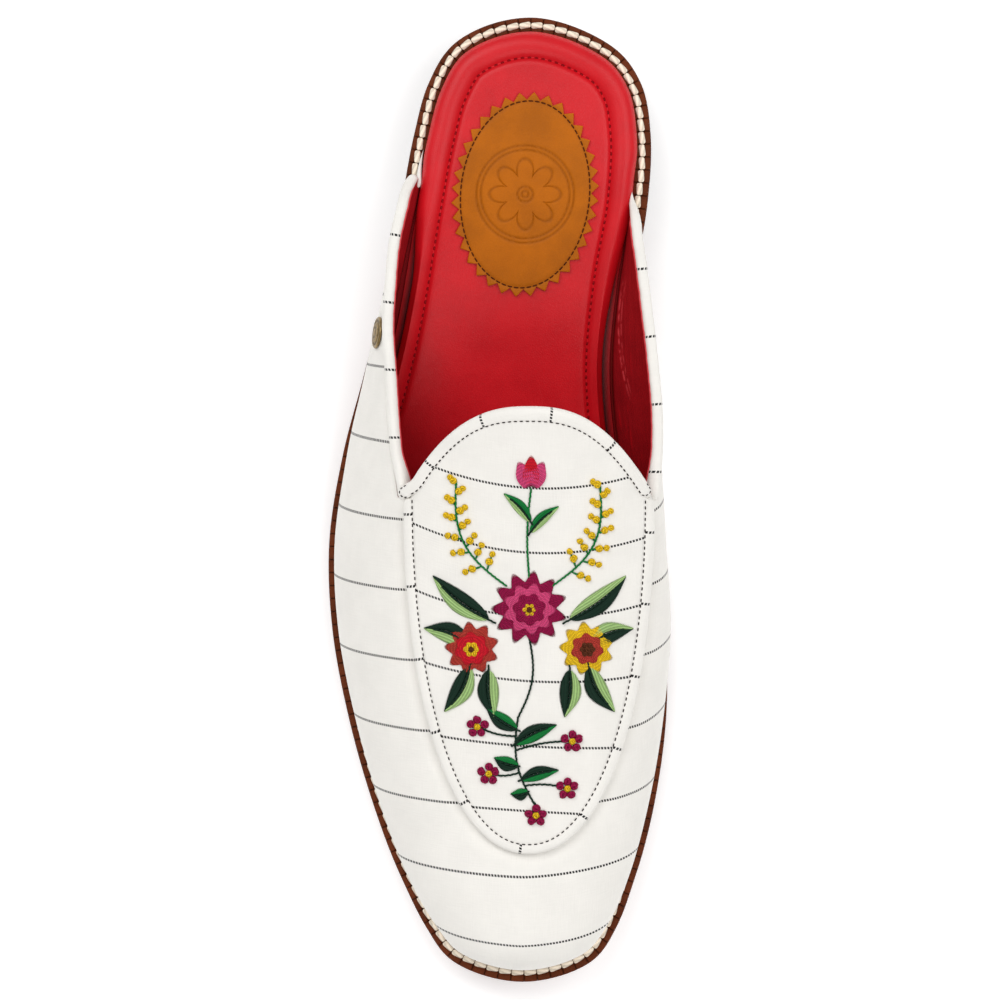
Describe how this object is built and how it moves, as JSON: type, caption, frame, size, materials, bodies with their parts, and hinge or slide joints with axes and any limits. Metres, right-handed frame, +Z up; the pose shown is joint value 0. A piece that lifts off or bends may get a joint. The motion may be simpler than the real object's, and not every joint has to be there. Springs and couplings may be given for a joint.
{
  "type": "mule",
  "caption": "Backless loafer for the right foot: striped cloth upper with a stitched apron and bound collar, padded insole with a toothed heel patch, stitched welt and low heel.",
  "frame": {"origin": "on the ground, under the middle of the shoe's length and width", "axes": "+Y from the toe to the heel, +Z up, +X towards the inner side of the foot"},
  "size_m": [0.0943, 0.264, 0.0718],
  "materials": {
    "sole_leather": "waxed brown edge",
    "heel_leather": "waxed dark brown",
    "insole_leather": "smooth satin red",
    "patch_leather": "smooth satin tan",
    "cloth": "matt woven cotton with thin dark stripes",
    "brass": "antique satin"
  },
  "bodies": {
    "root": {"outsole": "sole_leather", "heel_block": "heel_leather", "welt": "sole_leather", "insole": "insole_leather", "insole_patch": "patch_leather", "upper": "cloth", "apron": "cloth", "apron_binding": "cloth", "collar_binding_lateral": "cloth", "collar_binding_medial": "cloth", "rivet": "brass"}
  },
  "joints": []
}
